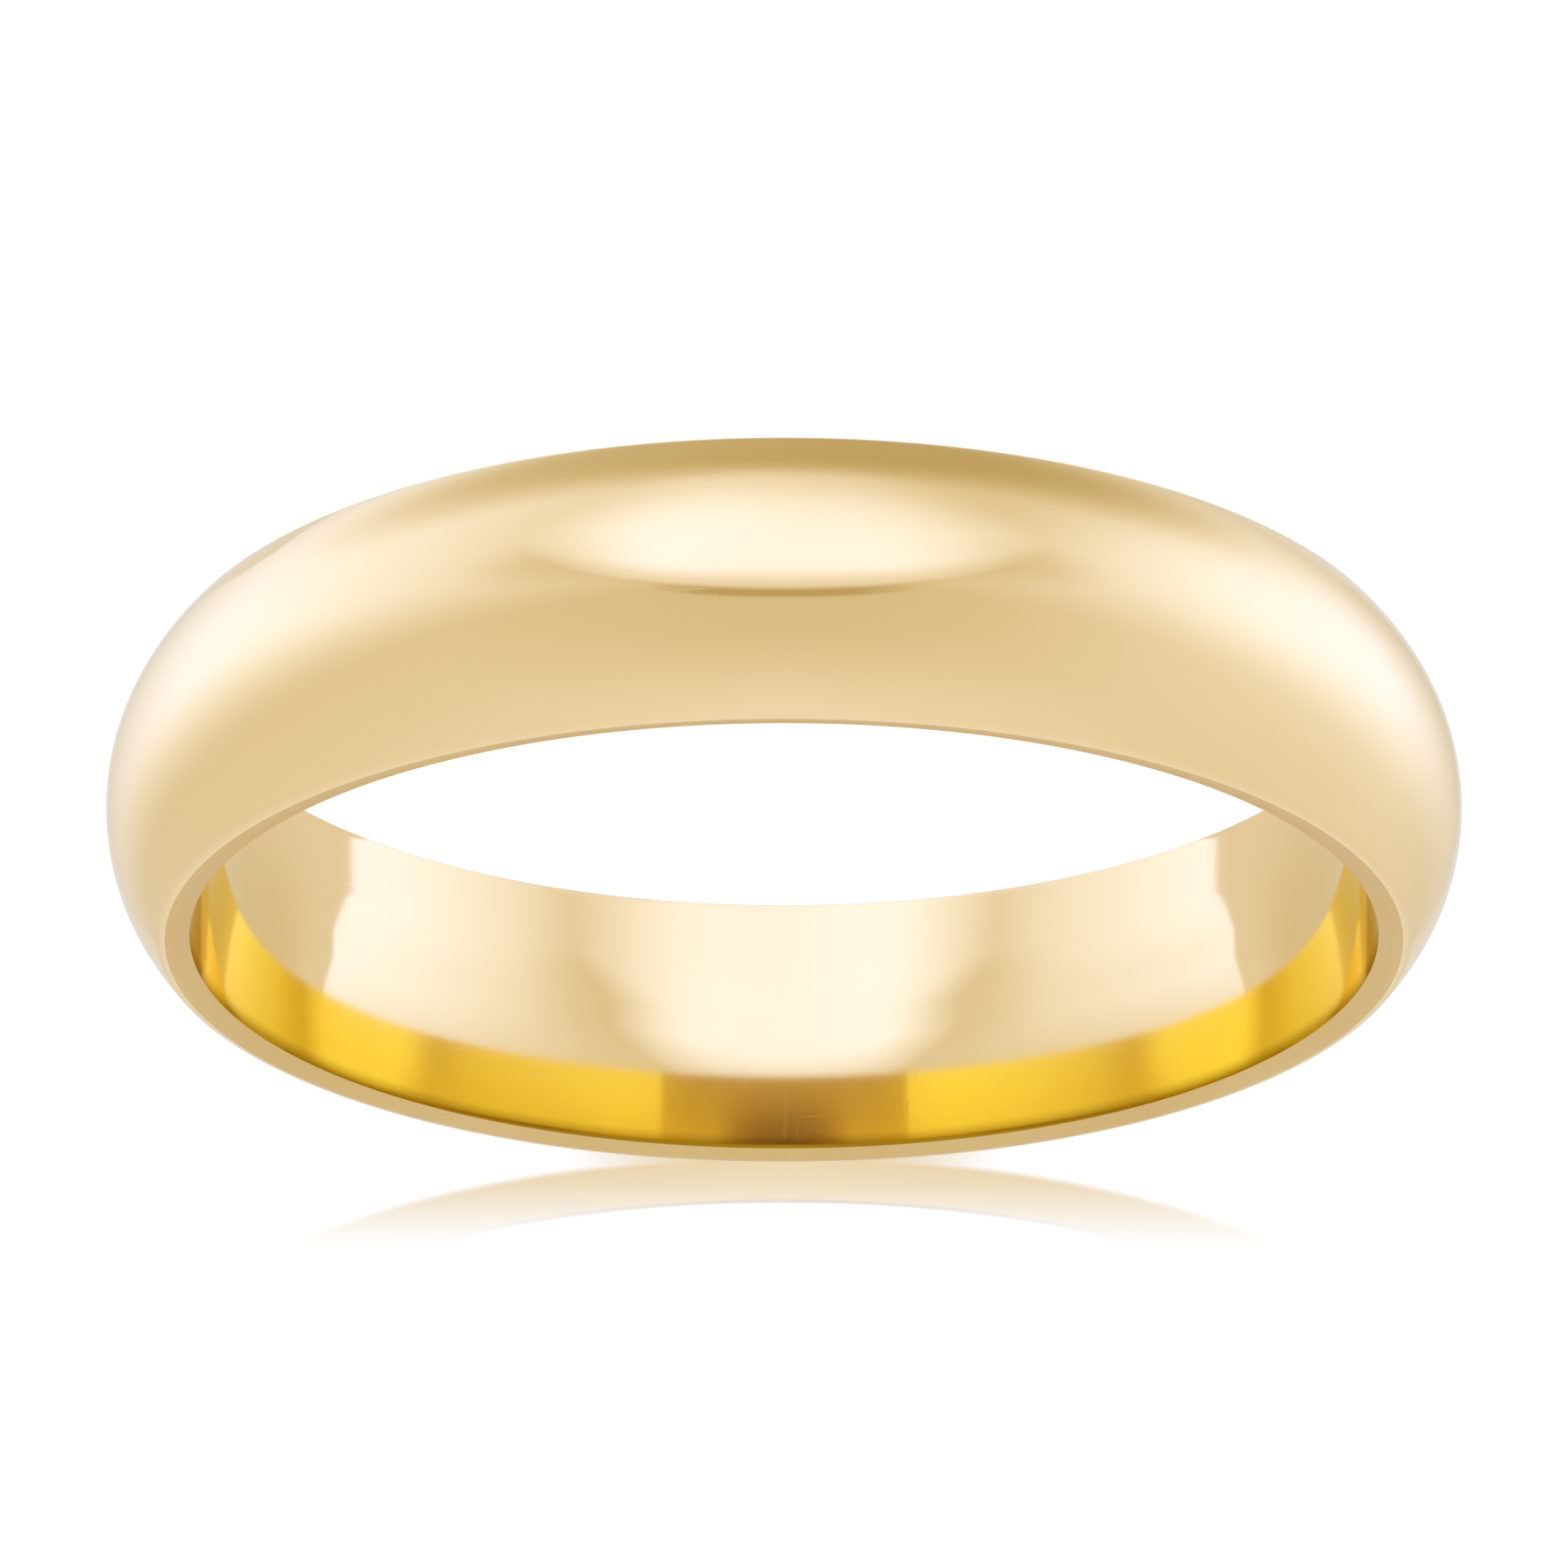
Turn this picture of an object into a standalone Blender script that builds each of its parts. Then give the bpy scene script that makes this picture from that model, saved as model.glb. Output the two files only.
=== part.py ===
"""Plain D-profile wedding band, standing upright: bore along Y, origin at the bore's centre, +Z up."""

from math import atan2, cos, pi, radians, sin, sqrt, tan

import bmesh
import bpy

MM = 0.001

# Driving dimensions
BORE_DIAMETER = 16.2 * MM
WIDTH = 4.0 * MM
THICKNESS = 1.35 * MM
DOME_RISE = 0.79 * MM
DOME_EDGE_RADIUS = 0.16 * MM

# The bore is straight only in the middle, then rolls into a slight taper that eases it over a knuckle
BORE_STRAIGHT_WIDTH = 0.4 * MM
BORE_ROLL_RADIUS = 7.0 * MM
BORE_TAPER = radians(6.2)

# Each side leans back from its flat outer rim to the bore's edge
BORE_EDGE_SETBACK = 0.08 * MM
SIDE_LEAN = radians(17)

# Fineness of the turned surface; the rolled and domed parts stay smooth below the sharp angle
STEPS_AROUND = 96
ROLL_SEGMENTS = 3
EDGE_SEGMENTS = 2
DOME_SEGMENTS = 12
SHARP_ANGLE = radians(40)

# 18 carat yellow gold, polished
GOLD_COLOUR = (0.93, 0.72, 0.36, 1.0)
GOLD_ROUGHNESS = 0.12

BORE_RADIUS = BORE_DIAMETER / 2
OUTER_RADIUS = BORE_RADIUS + THICKNESS
HALF_WIDTH = WIDTH / 2


def clear_scene():
    for obj in list(bpy.data.objects):
        bpy.data.objects.remove(obj, do_unlink=True)


def arc(centre_y, centre_r, radius, start, end, segments):
    """Points of an arc in the (y, r) half plane, with both ends."""
    points = []
    for i in range(segments + 1):
        angle = start + (end - start) * i / segments
        points.append((centre_y + radius * cos(angle), centre_r + radius * sin(angle)))
    return points


def half_profile():
    """The section from the bore's surface to the top of the dome, on the +Y side."""
    # Bore: the end of the straight middle, the roll, then the taper out to the bore's edge
    roll = arc(
        BORE_STRAIGHT_WIDTH / 2,
        BORE_RADIUS + BORE_ROLL_RADIUS,
        BORE_ROLL_RADIUS,
        -pi / 2,
        -pi / 2 + BORE_TAPER,
        ROLL_SEGMENTS,
    )
    taper_y, taper_r = roll[-1]
    edge_y = HALF_WIDTH - BORE_EDGE_SETBACK
    edge_r = taper_r + (edge_y - taper_y) * tan(BORE_TAPER)
    # Side: from the bore's edge out to the flat rim
    rim_r = edge_r + BORE_EDGE_SETBACK / tan(SIDE_LEAN)
    side = [(edge_y, edge_r), (HALF_WIDTH, rim_r)]
    # The fillet touches the flat rim and the dome from inside both.
    dome_radius = (HALF_WIDTH**2 + DOME_RISE**2) / (2 * DOME_RISE)
    dome_centre = OUTER_RADIUS - dome_radius
    fillet_y = HALF_WIDTH - DOME_EDGE_RADIUS
    fillet_r = dome_centre + sqrt((dome_radius - DOME_EDGE_RADIUS) ** 2 - fillet_y**2)
    meeting = atan2(fillet_r - dome_centre, fillet_y)
    fillet = arc(fillet_y, fillet_r, DOME_EDGE_RADIUS, 0, meeting, EDGE_SEGMENTS)
    dome = arc(0, dome_centre, dome_radius, meeting, pi / 2, DOME_SEGMENTS // 2)
    return roll + side + fillet + dome[1:]


def full_profile():
    """The closed section, from the +Y side over the dome to the -Y side."""
    half = half_profile()
    mirrored = [(-y, r) for y, r in reversed(half[:-1])]
    return half + mirrored


def gold():
    material = bpy.data.materials.new("gold")
    material.use_nodes = True
    shader = material.node_tree.nodes["Principled BSDF"]
    shader.inputs["Base Color"].default_value = GOLD_COLOUR
    shader.inputs["Metallic"].default_value = 1.0
    shader.inputs["Roughness"].default_value = GOLD_ROUGHNESS
    return material


def make_band():
    """Turn the section about Y into one closed solid."""
    mesh = bpy.data.meshes.new("band")
    work = bmesh.new()
    section = [work.verts.new((r, y, 0.0)) for y, r in full_profile()]
    outline = [work.edges.new(pair) for pair in zip(section, section[1:] + section[:1])]
    bmesh.ops.spin(
        work,
        geom=section + outline,
        cent=(0, 0, 0),
        axis=(0, 1, 0),
        angle=2 * pi,
        steps=STEPS_AROUND,
        use_merge=True,
    )
    bmesh.ops.recalc_face_normals(work, faces=work.faces)
    work.to_mesh(mesh)
    work.free()
    mesh.materials.append(gold())
    mesh.shade_smooth()
    mesh.set_sharp_from_angle(angle=SHARP_ANGLE)
    band = bpy.data.objects.new("band", mesh)
    bpy.context.scene.collection.objects.link(band)
    return band


clear_scene()
make_band()
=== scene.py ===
"""Plain gold wedding band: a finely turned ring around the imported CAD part, in a white studio."""

from math import atan2, cos, pi, radians, sin, sqrt, tan

import bpy
from mathutils import Matrix, Vector


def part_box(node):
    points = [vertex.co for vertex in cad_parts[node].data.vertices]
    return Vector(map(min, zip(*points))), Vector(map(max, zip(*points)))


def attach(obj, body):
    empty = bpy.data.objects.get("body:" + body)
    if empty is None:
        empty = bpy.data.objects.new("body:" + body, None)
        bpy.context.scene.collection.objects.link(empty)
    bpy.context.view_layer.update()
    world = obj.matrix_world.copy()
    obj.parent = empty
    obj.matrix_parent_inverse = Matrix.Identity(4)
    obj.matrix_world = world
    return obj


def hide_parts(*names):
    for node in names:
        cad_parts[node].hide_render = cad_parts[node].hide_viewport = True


MM = 0.001

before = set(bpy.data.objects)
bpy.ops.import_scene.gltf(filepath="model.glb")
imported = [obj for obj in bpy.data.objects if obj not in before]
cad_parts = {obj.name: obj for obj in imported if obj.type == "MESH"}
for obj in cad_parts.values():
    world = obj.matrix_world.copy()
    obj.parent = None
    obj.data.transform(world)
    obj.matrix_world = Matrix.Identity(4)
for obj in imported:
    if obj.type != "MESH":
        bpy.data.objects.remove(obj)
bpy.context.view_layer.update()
low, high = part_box("band")

# The section follows the CAD solid's box; the rest of it is the part's own design.
OUTER_RADIUS = high.x
HALF_WIDTH = high.y
BORE_RADIUS = OUTER_RADIUS - 1.35 * MM
DOME_RISE = 0.79 * MM
DOME_EDGE_RADIUS = 0.16 * MM
BORE_STRAIGHT_WIDTH = 0.4 * MM
BORE_ROLL_RADIUS = 7.0 * MM
BORE_TAPER = radians(6.2)
BORE_EDGE_SETBACK = 0.08 * MM
SIDE_LEAN = radians(17)
BORE_LIP_RADIUS = 0.012 * MM
STEPS_AROUND = 720

# Depth of the marks that polishing leaves, and how far the colour shifts from patch to patch
GRAIN_OF_POLISH = 0.0001 * MM
MOTTLE_OF_POLISH = (0.01, 0.015, 0.025)
MOTTLE_OF_SATIN = (0.07, 0.10, 0.16)

# The bore: gold as it shows mirrored in gold, the painted dark reflection on its front edge, and
# the glow that stands for light after MOST_BOUNCES
DEEP_GOLD = (0.95, 0.705, 0.055)
PAINTED_EDGE_REFLECTION = (0.5, 0.37, 0.1)
PAINTED_EDGE_REFLECTION_FROM = 0.32 * MM
PAINTED_EDGE_REFLECTION_FULL = 0.09 * MM
LOST_LIGHT = (0.5, 0.38, 0.17)
MOST_BOUNCES = 2.5

# Studio: strength of the light, how many stops red, green and blue gain for each stop of it,
# the white of the floor and wall, and how far the wall stands from the ring
LIGHT_LEVEL = 0.786
STOPS_PER_STOP = (0.72, 1.0, 1.9)
WHITE = 1.03
ROOM_RADIUS = 0.55
FLOOR_Z = low.z

# Material slots of the ring, by zone of its section
BORE, SIDE, DOME = range(3)


# ---------------------------------------------------------------- geometry


def arc(centre_y, centre_r, radius, start, end, segments):
    """Points of an arc in the (y, r) half plane, with both ends."""
    points = []
    for i in range(segments + 1):
        angle = start + (end - start) * i / segments
        points.append((centre_y + radius * cos(angle), centre_r + radius * sin(angle)))
    return points


def line(start, end, segments):
    """Points along a straight line, without its start."""
    return [
        (
            start[0] + (end[0] - start[0]) * i / segments,
            start[1] + (end[1] - start[1]) * i / segments,
        )
        for i in range(1, segments + 1)
    ]


def half_section():
    """(y, r, zone) from the middle of the bore to the top of the dome, on the +Y side."""
    roll = arc(
        BORE_STRAIGHT_WIDTH / 2,
        BORE_RADIUS + BORE_ROLL_RADIUS,
        BORE_ROLL_RADIUS,
        -pi / 2,
        -pi / 2 + BORE_TAPER,
        16,
    )
    taper_y, taper_r = roll[-1]
    edge_y = HALF_WIDTH - BORE_EDGE_SETBACK
    edge_r = taper_r + (edge_y - taper_y) * tan(BORE_TAPER)
    edge = (edge_y, edge_r)
    rim = (HALF_WIDTH, edge_r + BORE_EDGE_SETBACK / tan(SIDE_LEAN))

    # A hair-fine lip rounds the corner between the bore and the side.
    turn = (pi / 2 - BORE_TAPER - SIDE_LEAN) / 2
    trim = BORE_LIP_RADIUS * tan(turn)
    on_taper = (edge_y - trim * cos(BORE_TAPER), edge_r - trim * sin(BORE_TAPER))
    centre = (
        on_taper[0] - BORE_LIP_RADIUS * sin(BORE_TAPER),
        on_taper[1] + BORE_LIP_RADIUS * cos(BORE_TAPER),
    )
    lip = arc(*centre, BORE_LIP_RADIUS, BORE_TAPER - pi / 2, -SIDE_LEAN, 5)

    dome_radius = (HALF_WIDTH**2 + DOME_RISE**2) / (2 * DOME_RISE)
    dome_centre = OUTER_RADIUS - dome_radius
    fillet_y = HALF_WIDTH - DOME_EDGE_RADIUS
    fillet_r = dome_centre + sqrt((dome_radius - DOME_EDGE_RADIUS) ** 2 - fillet_y**2)
    meeting = atan2(fillet_r - dome_centre, fillet_y)
    fillet = arc(fillet_y, fillet_r, DOME_EDGE_RADIUS, 0, meeting, 10)
    dome = arc(0, dome_centre, dome_radius, meeting, pi / 2, 40)

    bore = [(0.0, BORE_RADIUS)] + roll + line(roll[-1], lip[0], 12) + lip[1:3]
    side = lip[3:] + line(lip[-1], rim, 5) + line(rim, fillet[0], 2)
    outside = fillet[1:] + dome[1:]
    return (
        [(y, r, BORE) for y, r in bore]
        + [(y, r, SIDE) for y, r in side]
        + [(y, r, DOME) for y, r in outside]
    )


def turned_ring():
    """The full section turned about Y; each strip of faces takes the zone of its outer point."""
    half = half_section()
    section = half + [(-y, r, zone) for y, r, zone in reversed(half[1:-1])]
    count = len(section)
    points = []
    for step in range(STEPS_AROUND):
        angle = 2 * pi * step / STEPS_AROUND
        points += [(r * sin(angle), y, r * cos(angle)) for y, r, _ in section]
    faces = []
    zones = []
    for step in range(STEPS_AROUND):
        here = step * count
        there = (step + 1) % STEPS_AROUND * count
        for i in range(count):
            j = (i + 1) % count
            faces.append((here + i, here + j, there + j, there + i))
            zones.append(section[j][2] if i < len(half) - 1 else section[i][2])
    mesh = bpy.data.meshes.new("gold_band")
    mesh.from_pydata(points, [], faces)
    mesh.polygons.foreach_set("material_index", zones)
    mesh.shade_smooth()
    ring = bpy.data.objects.new("gold_band", mesh)
    bpy.context.scene.collection.objects.link(ring)
    return ring


# --------------------------------------------------------------- materials


class Nodes:
    """Small helper to write node trees as expressions."""

    def __init__(self, tree):
        self.tree = tree

    def add(self, kind, **settings):
        node = self.tree.nodes.new(kind)
        for name, value in settings.items():
            setattr(node, name, value)
        return node

    def put(self, socket, value):
        if isinstance(value, bpy.types.NodeSocket):
            self.tree.links.new(value, socket)
        else:
            socket.default_value = value

    def math(self, operation, *values):
        node = self.add("ShaderNodeMath", operation=operation)
        for socket, value in zip(node.inputs, values):
            self.put(socket, value)
        return node.outputs[0]

    def ramp(self, value, start, end, low=0.0, high=1.0):
        """Smoothly from low to high while value goes from start to end."""
        node = self.add("ShaderNodeMapRange", interpolation_type="SMOOTHSTEP")
        for name, item in (
            ("Value", value),
            ("From Min", start),
            ("From Max", end),
            ("To Min", low),
            ("To Max", high),
        ):
            self.put(node.inputs[name], item)
        return node.outputs["Result"]

    def window(self, value, rise_from, rise_to, fall_from, fall_to):
        """1 between rise_to and fall_from, with soft sides."""
        rise = self.ramp(value, rise_from, rise_to)
        fall = self.ramp(value, fall_from, fall_to, 1.0, 0.0)
        return self.math("MULTIPLY", rise, fall)

    def noise(self, vector, scale, detail=2.0, roughness=0.5):
        node = self.add("ShaderNodeTexNoise")
        self.put(node.inputs["Vector"], vector)
        self.put(node.inputs["Scale"], scale)
        self.put(node.inputs["Detail"], detail)
        self.put(node.inputs["Roughness"], roughness)
        return node.outputs["Fac"]


def turned_coordinates(nodes):
    """The place on the ring, its x, y and z, and its distance from the ring's axis, in metres."""
    place = nodes.add("ShaderNodeTexCoord").outputs["Object"]
    split = nodes.add("ShaderNodeSeparateXYZ")
    nodes.put(split.inputs[0], place)
    x, y, z = split.outputs
    distance = nodes.math(
        "SQRT",
        nodes.math("ADD", nodes.math("MULTIPLY", x, x), nodes.math("MULTIPLY", z, z)),
    )
    return place, x, y, z, distance


def line_bore(material, nodes, shader, tint, y):
    """Finishes the gold of the bore, and returns its tint.

    The polish blurs more across the turning lines than along them. Gold mirrored in gold is
    deeper than its red, green and blue multiplied, so glossy rays meet a deeper tint. The front
    edge carries a painted dark reflection, a darker colour on that side only. Light that has
    gone round the bore three times ends as a warm glow.
    """
    shader.inputs["Anisotropic"].default_value = 0.9
    shader.inputs["Anisotropic Rotation"].default_value = 0.25
    tangent = nodes.add("ShaderNodeTangent", direction_type="RADIAL", axis="Y")
    nodes.put(shader.inputs["Tangent"], tangent.outputs[0])

    path = nodes.add("ShaderNodeLightPath")
    # Painted dark reflection: the bore's front edge is darkened in colour, the back edge is not
    edge = nodes.ramp(y, -HALF_WIDTH + PAINTED_EDGE_REFLECTION_FROM, -HALF_WIDTH + PAINTED_EDGE_REFLECTION_FULL)
    for factor, other in ((path.outputs["Is Glossy Ray"], DEEP_GOLD), (edge, PAINTED_EDGE_REFLECTION)):
        layer = nodes.add("ShaderNodeMix", data_type="RGBA")
        nodes.put(layer.inputs["Factor"], factor)
        nodes.put(layer.inputs["A"], tint)
        layer.inputs["B"].default_value = (*other, 1.0)
        tint = layer.outputs["Result"]

    lost = nodes.add("ShaderNodeEmission")
    lost.inputs["Color"].default_value = (*LOST_LIGHT, 1.0)
    end = nodes.add("ShaderNodeMixShader")
    nodes.put(end.inputs[0], nodes.math("GREATER_THAN", path.outputs["Ray Depth"], MOST_BOUNCES))
    nodes.put(end.inputs[1], shader.outputs[0])
    nodes.put(end.inputs[2], lost.outputs[0])
    nodes.put(material.node_tree.nodes["Material Output"].inputs["Surface"], end.outputs[0])
    return tint


def gold(name, colour, mottle, roughness, grain, scratch, bore=False):
    """Gold with turning lines, uneven polish, satin grain and stray scratches.

    mottle is how far red, green and blue shift; grain and scratch are depths in metres.
    """
    material = bpy.data.materials.new(name)
    material.use_nodes = True
    nodes = Nodes(material.node_tree)
    shader = material.node_tree.nodes["Principled BSDF"]
    shader.inputs["Metallic"].default_value = 1.0
    place, x, y, z, distance = turned_coordinates(nodes)

    def stretched(along_x, along_y, along_z):
        """The place, drawn out so that noise turns into lines."""
        node = nodes.add("ShaderNodeCombineXYZ")
        for socket, value, factor in zip(node.inputs, (x, y, z), (along_x, along_y, along_z)):
            nodes.put(socket, nodes.math("MULTIPLY", value, factor))
        return node.outputs[0]

    # Patches a few millimetres across, rings, and grain, by how many of each go in a metre
    patches = nodes.noise(place, 260.0, 2.0)
    rings = nodes.add("ShaderNodeCombineXYZ")
    nodes.put(rings.inputs[0], distance)
    nodes.put(rings.inputs[1], y)
    turning = nodes.noise(rings.outputs[0], 24000.0, 3.0, 0.6)
    fine = nodes.noise(place, 13000.0, 3.0, 0.7)
    # Only the noise's highest crests show as scratches, along the turning lines and across them
    scratches = nodes.math(
        "MAXIMUM",
        nodes.ramp(nodes.noise(stretched(1.0, 0.06, 1.0), 7000.0, 1.0), 0.70, 0.73),
        nodes.ramp(nodes.noise(stretched(0.07, 1.0, 0.3), 8000.0, 1.0), 0.71, 0.74),
    )

    rough = nodes.math("ADD", 0.75 * roughness, nodes.math("MULTIPLY", patches, 0.5 * roughness))
    rough = nodes.math("ADD", rough, nodes.math("MULTIPLY", scratches, 0.1 * roughness))
    nodes.put(shader.inputs["Roughness"], rough)

    mottled = nodes.math(
        "ADD", nodes.math("MULTIPLY", patches, 0.5), nodes.math("MULTIPLY", fine, 0.5)
    )
    mix = nodes.add("ShaderNodeMix", data_type="RGBA")
    nodes.put(mix.inputs["Factor"], mottled)
    lighter = [min(c * (1 + d), 1.0) for c, d in zip(colour, mottle)]
    darker = [c * (1 - d) for c, d in zip(colour, mottle)]
    mix.inputs["A"].default_value = (*lighter, 1.0)
    mix.inputs["B"].default_value = (*darker, 1.0)
    tint = mix.outputs["Result"]

    lines = nodes.math("MULTIPLY", turning, GRAIN_OF_POLISH)
    height = nodes.math("ADD", lines, nodes.math("MULTIPLY", fine, grain))
    height = nodes.math("ADD", height, nodes.math("MULTIPLY", scratches, -scratch))
    bump = nodes.add("ShaderNodeBump")
    bump.inputs["Strength"].default_value = 1.0
    bump.inputs["Distance"].default_value = 1.0
    nodes.put(bump.inputs["Height"], height)
    nodes.put(shader.inputs["Normal"], bump.outputs["Normal"])

    if bore:
        tint = line_bore(material, nodes, shader, tint, y)
    nodes.put(shader.inputs["Base Color"], tint)
    return material


# ------------------------------------------------------------------ studio


def light_colour(nodes, stops):
    """Colour of the studio's light: cooler as it gets brighter, as lamps beside their warm bounce."""
    mix = nodes.add("ShaderNodeCombineColor")
    for socket, stops_per_stop in zip(mix.inputs, STOPS_PER_STOP):
        nodes.put(socket, nodes.math("POWER", 2.0**stops_per_stop, stops))
    return mix.outputs[0]


def studio_world():
    """The white studio that the ring mirrors: soft lights, in stops, by direction from the ring."""
    world = bpy.data.worlds.new("studio")
    bpy.context.scene.world = world
    world.use_nodes = True
    nodes = Nodes(world.node_tree)
    split = nodes.add("ShaderNodeSeparateXYZ")
    nodes.put(split.inputs[0], nodes.add("ShaderNodeTexCoord").outputs["Generated"])
    x, y, z = split.outputs
    # Elevation above the horizon, and azimuth from the camera's side, positive to the right
    elevation = nodes.math("DEGREES", nodes.math("ARCSINE", z))
    azimuth = nodes.math("DEGREES", nodes.math("ARCTAN2", x, nodes.math("MULTIPLY", y, -1.0)))
    aside = nodes.math("ABSOLUTE", azimuth)
    # Place on a ceiling one unit above the ring: to either side, and away from the camera
    height = nodes.math("MAXIMUM", z, 0.02)
    sideways = nodes.math("ABSOLUTE", nodes.math("DIVIDE", x, height))
    away = nodes.math("DIVIDE", y, height)

    def product(*values):
        result = values[0]
        for value in values[1:]:
            result = nodes.math("MULTIPLY", result, value)
        return result

    def oval(first, second):
        """Distance from the middle of an oval, from two places measured in its half axes."""
        return nodes.math("SQRT", nodes.math("ADD", product(first, first), product(second, second)))

    def softbox(centre, forward, backward, up, down, stops):
        """An oval light that fades from its middle out.

        centre is its azimuth and elevation. forward is its reach towards the camera's side.
        """
        across = nodes.math("WRAP", nodes.math("SUBTRACT", azimuth, centre[0]), 180.0, -180.0)
        if centre[0] < 0:
            across = nodes.math("MULTIPLY", across, -1.0)
        over = nodes.math("SUBTRACT", elevation, centre[1])
        across = nodes.math(
            "MAXIMUM",
            nodes.math("DIVIDE", across, backward),
            nodes.math("DIVIDE", across, -forward),
        )
        over = nodes.math(
            "MAXIMUM", nodes.math("DIVIDE", over, up), nodes.math("DIVIDE", over, -down)
        )
        return nodes.ramp(oval(across, over), 0.0, 1.0, stops, 0.0)

    # The overhead softbox hangs behind the ring; its front edge bows away at both ends
    into = nodes.math("SUBTRACT", away, product(sideways, sideways, 0.8))
    crisp_edge = nodes.ramp(into, 0.05, 0.09, 0.0, 0.30)
    soft_edge = nodes.ramp(into, 0.05, 0.28, 0.0, 0.57)
    overhead = product(
        nodes.math("ADD", crisp_edge, soft_edge),
        nodes.ramp(sideways, 0.2, 1.3, 1.0, 0.0),
        nodes.ramp(away, 0.4, 2.6, 1.0, 0.3),
        nodes.ramp(away, 2.4, 5.5, 1.0, 0.0),
    )
    # The dark rail along that edge
    rail = product(
        nodes.window(into, -0.03, -0.005, 0.04, 0.07),
        nodes.ramp(sideways, 0.15, 0.45, -0.62, 0.0),
    )
    bright_wall = product(
        nodes.window(azimuth, 45, 113, 130, 178), nodes.window(elevation, -65, -25, -8, 70), 0.4
    )
    front_fill = product(
        nodes.ramp(aside, -66, 170, 0.5, 0.0), nodes.ramp(elevation, 26, 81, 1.0, 0.0)
    )
    # The far end of the room is dark, in an oval 47 degrees aside and 31 degrees up and down
    far_end = oval(
        nodes.math("DIVIDE", nodes.math("SUBTRACT", 180.0, aside), 47.0),
        nodes.math("DIVIDE", nodes.math("ADD", elevation, 8.0), 31.0),
    )
    lights = [
        overhead,
        rail,
        softbox((-120, -22), forward=38, backward=100, up=110, down=60, stops=0.88),
        softbox((120, -22), forward=37, backward=40, up=110, down=60, stops=0.53),
        # Gaps between the side softboxes and the overhead one
        softbox((-126, 43), forward=18, backward=24, up=26, down=18, stops=-0.22),
        softbox((126, 43), forward=18, backward=24, up=26, down=18, stops=-0.24),
        bright_wall,
        front_fill,
        nodes.ramp(far_end, 0.3, 1.0, -0.75, 0.0),
    ]
    room, brightest, shoulder = -0.24, 0.7, 0.15
    stops = room
    for light in lights:
        stops = nodes.math("ADD", stops, light)
    stops = nodes.math("SMOOTH_MIN", stops, brightest, shoulder)
    background = world.node_tree.nodes["Background"]
    nodes.put(background.inputs["Color"], light_colour(nodes, stops))
    background.inputs["Strength"].default_value = LIGHT_LEVEL


def flat_sheet(name, half_x, y_from, y_to, z):
    """One rectangle, level, for the set."""
    mesh = bpy.data.meshes.new(name)
    mesh.from_pydata(
        [(-half_x, y_from, z), (half_x, y_from, z), (half_x, y_to, z), (-half_x, y_to, z)],
        [],
        [(0, 1, 2, 3)],
    )
    sheet = bpy.data.objects.new(name, mesh)
    bpy.context.scene.collection.objects.link(sheet)
    return sheet


def reflected_only(sheet):
    """Makes a sheet show only in the ring's mirror."""
    sheet.visible_camera = False
    sheet.visible_diffuse = False
    sheet.visible_shadow = False


def new_material(sheet, name):
    """An empty material on the sheet, and the writer of its nodes."""
    material = bpy.data.materials.new(name)
    material.use_nodes = True
    material.node_tree.nodes.clear()
    sheet.data.materials.append(material)
    return Nodes(material.node_tree)


def place_on(nodes):
    """x and y on a level sheet."""
    split = nodes.add("ShaderNodeSeparateXYZ")
    nodes.put(split.inputs[0], nodes.add("ShaderNodeTexCoord").outputs["Object"])
    return split.outputs[0], split.outputs[1]


def finish_material(nodes, shader):
    """Sends a shader to the material's output."""
    out = nodes.add("ShaderNodeOutputMaterial")
    nodes.put(out.inputs["Surface"], shader.outputs[0])


def studio_floor():
    """A white floor that mirrors the ring in a crescent, close to where it stands."""
    floor = flat_sheet("floor", ROOM_RADIUS, -ROOM_RADIUS, ROOM_RADIUS, FLOOR_Z)
    floor.visible_glossy = False
    floor.visible_diffuse = False
    nodes = new_material(floor, "white_floor")
    x, y = place_on(nodes)
    front = nodes.math("ABSOLUTE", y)
    # The gloss starts in front of the ring's outline, which rises off the floor to both sides
    widest = 0.95 * OUTER_RADIUS
    view_slope = 0.4
    outline_start = 1.6 * MM
    reach = nodes.math("MINIMUM", nodes.math("MULTIPLY", x, x), widest**2)
    drop = nodes.math("SQRT", nodes.math("SUBTRACT", OUTER_RADIUS**2, reach))
    lift = nodes.math("SUBTRACT", OUTER_RADIUS, drop)
    outline = nodes.math("ADD", nodes.math("MULTIPLY", lift, view_slope), outline_start)
    crescent = nodes.ramp(nodes.math("SUBTRACT", front, outline), -0.05 * MM, 0.1 * MM)
    under = nodes.ramp(nodes.math("ABSOLUTE", x), 1.0 * MM, 3.5 * MM, 1.0, 0.0)
    near = nodes.math(
        "MULTIPLY",
        nodes.math("MAXIMUM", crescent, under),
        nodes.ramp(front, 1.6 * MM, 3.3 * MM, 0.9, 0.0),
    )
    # A breath of shade at the contact, in an oval
    across = nodes.math("DIVIDE", x, 5 * MM)
    along = nodes.math("DIVIDE", y, 2.8 * MM)
    away = nodes.math(
        "SQRT", nodes.math("ADD", nodes.math("POWER", across, 2.0), nodes.math("POWER", along, 2.0))
    )
    white = nodes.add("ShaderNodeEmission")
    nodes.put(white.inputs["Strength"], nodes.ramp(away, 0.1, 1.0, 0.72, WHITE))
    gloss = nodes.add("ShaderNodeBsdfGlossy")
    gloss.inputs["Color"].default_value = (1.0, 1.0, 1.0, 1.0)
    gloss.inputs["Roughness"].default_value = 0.08
    mix = nodes.add("ShaderNodeMixShader")
    nodes.put(mix.inputs[0], near)
    nodes.put(mix.inputs[1], white.outputs[0])
    nodes.put(mix.inputs[2], gloss.outputs[0])
    finish_material(nodes, mix)


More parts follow.
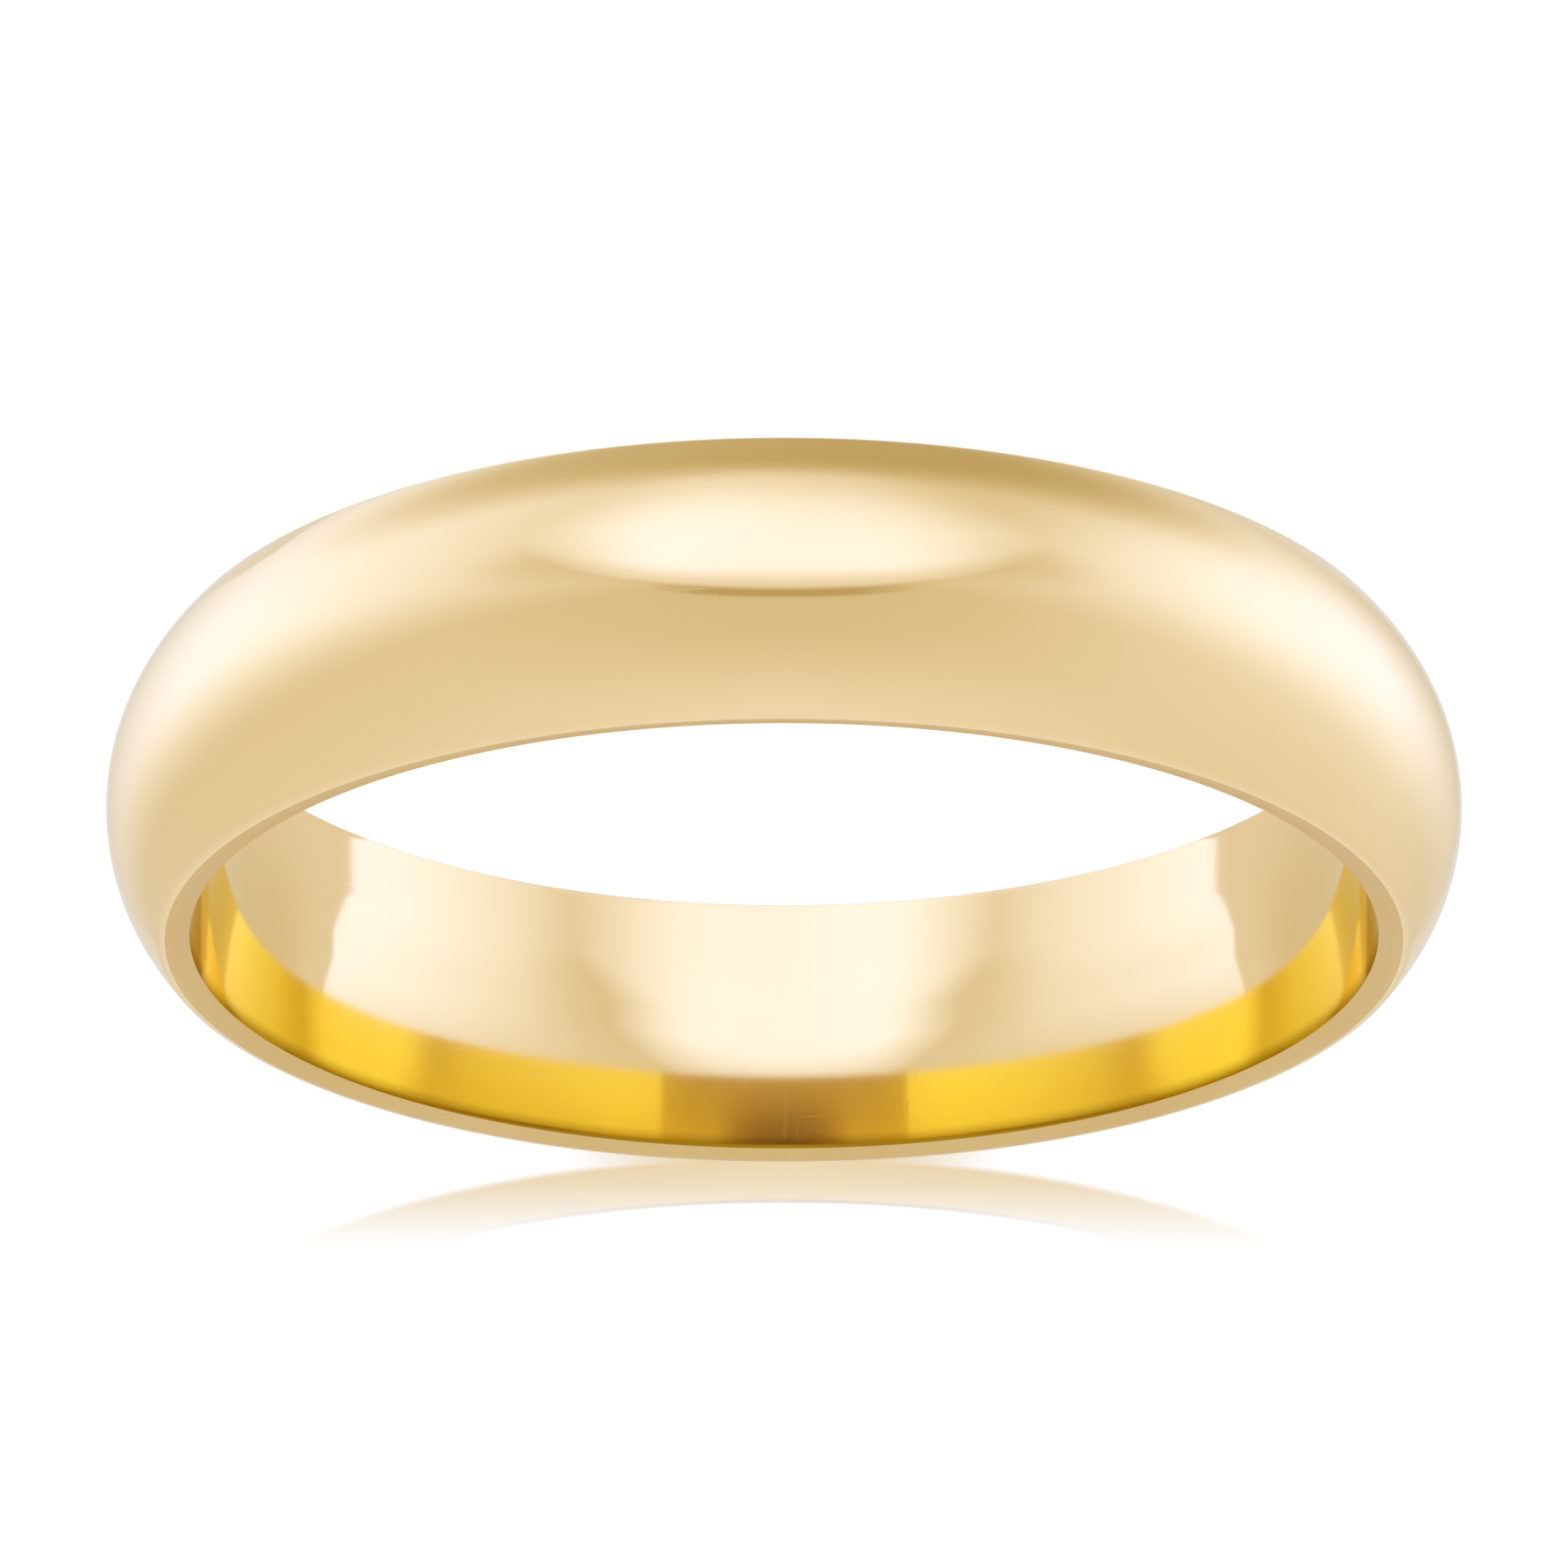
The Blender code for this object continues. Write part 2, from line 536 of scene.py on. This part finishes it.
def studio_wall():
    """A round white wall at the floor's edge, for low cameras."""
    sides = 64
    points = []
    for i in range(sides):
        angle = 2 * pi * i / sides
        for z in (FLOOR_Z, ROOM_RADIUS):
            points.append((ROOM_RADIUS * cos(angle), ROOM_RADIUS * sin(angle), z))
    faces = [
        (2 * i, 2 * i + 1, (2 * i + 3) % (2 * sides), (2 * i + 2) % (2 * sides)) for i in range(sides)
    ]
    mesh = bpy.data.meshes.new("wall")
    mesh.from_pydata(points, [], faces)
    wall = bpy.data.objects.new("wall", mesh)
    bpy.context.scene.collection.objects.link(wall)
    wall.visible_glossy = False
    wall.visible_diffuse = False
    wall.visible_shadow = False
    nodes = new_material(wall, "white_wall")
    white = nodes.add("ShaderNodeEmission")
    white.inputs["Strength"].default_value = WHITE
    finish_material(nodes, white)


def shaded_table():
    """The patch of table that the bore mirrors: dimmer where the ring stands in the light's way."""
    table = flat_sheet("table_patch", 17 * MM, -1 * MM, 18 * MM, FLOOR_Z - 0.2 * MM)
    reflected_only(table)
    nodes = new_material(table, "table_patch")
    x, y = place_on(nodes)
    aside = nodes.math("ABSOLUTE", x)
    # Past its edge the bright room shows; the edge runs straight back, then spreads
    spread = nodes.ramp(y, 10 * MM, 17 * MM, 0.0, 3.5 * MM)
    reach = nodes.math("SUBTRACT", aside, spread)
    shade = nodes.math(
        "MULTIPLY",
        nodes.ramp(aside, 1 * MM, 9 * MM, 1.0, 0.0),
        nodes.ramp(y, 3 * MM, 9 * MM, -0.26, 0.0),
    )
    glow = nodes.add("ShaderNodeEmission")
    nodes.put(glow.inputs["Color"], light_colour(nodes, nodes.math("ADD", shade, -0.02)))
    glow.inputs["Strength"].default_value = LIGHT_LEVEL
    clear = nodes.add("ShaderNodeBsdfTransparent")
    mix = nodes.add("ShaderNodeMixShader")
    nodes.put(mix.inputs[0], nodes.ramp(reach, 12.3 * MM, 13.3 * MM))
    nodes.put(mix.inputs[1], glow.outputs[0])
    nodes.put(mix.inputs[2], clear.outputs[0])
    finish_material(nodes, mix)


def shade_veil():
    """A grey gel low behind the ring: it dims what the bore's ceiling throws down to its front edge."""
    veil = flat_sheet("shade_veil", 6.8 * MM, 0.5 * MM, 8.5 * MM, -4 * MM)
    reflected_only(veil)
    nodes = new_material(veil, "shade_veil")
    x, y = place_on(nodes)
    aside = nodes.math("ABSOLUTE", x)
    core = nodes.math(
        "MULTIPLY",
        nodes.ramp(aside, 0.3 * MM, 3.2 * MM, 1.0, 0.0),
        nodes.ramp(y, 2.2 * MM, 5.2 * MM, -3.6, 0.0),
    )
    broad = nodes.math(
        "MULTIPLY",
        nodes.ramp(aside, 3.5 * MM, 6.8 * MM, -0.7, -0.3),
        nodes.ramp(y, 1.8 * MM, 4.4 * MM),
    )
    # Light that comes up from the bore's floor passes it untouched
    from_above = nodes.math("SUBTRACT", 1.0, nodes.add("ShaderNodeNewGeometry").outputs["Backfacing"])
    depth = nodes.math("MULTIPLY", from_above, nodes.math("ADD", core, broad))
    gel = nodes.add("ShaderNodeBsdfTransparent")
    nodes.put(gel.inputs["Color"], light_colour(nodes, depth))
    finish_material(nodes, gel)


def photo_camera():
    """Looks down at the standing ring from in front, through a long lens."""
    elevation = radians(68.06)
    distance = 130 * MM
    raise_view = 0.505 * MM
    back = Vector((0, -cos(elevation), sin(elevation)))
    right = Vector((1, 0, 0))
    up = back.cross(right)
    place = up * raise_view + back * distance
    data = bpy.data.cameras.new("camera")
    data.sensor_width = 36
    data.lens = 213.57
    data.clip_start = 0.01
    data.clip_end = 10
    camera = bpy.data.objects.new("camera", data)
    camera.matrix_world = Matrix(
        [(right[i], up[i], back[i], place[i]) for i in range(3)] + [(0, 0, 0, 1)]
    )
    bpy.context.scene.collection.objects.link(camera)
    bpy.context.scene.camera = camera


# ------------------------------------------------------------------- build

POLISHED = (1.0, 0.757, 0.4)
SATIN = (0.8, 0.56, 0.22)

ring = turned_ring()
for material in (
    gold(
        "gold_bore",
        POLISHED,
        MOTTLE_OF_POLISH,
        roughness=0.075,
        grain=GRAIN_OF_POLISH,
        scratch=0.0001 * MM,
        bore=True,
    ),
    gold("gold_side", SATIN, MOTTLE_OF_SATIN, roughness=0.42, grain=0.006 * MM, scratch=0.0),
    gold(
        "gold_dome",
        POLISHED,
        MOTTLE_OF_POLISH,
        roughness=0.06,
        grain=GRAIN_OF_POLISH,
        scratch=0.0002 * MM,
    ),
):
    ring.data.materials.append(material)
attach(ring, "root")
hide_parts("band")

studio_world()
studio_floor()
studio_wall()
shaded_table()
shade_veil()
photo_camera()
bpy.context.scene.view_settings.view_transform = "Standard"
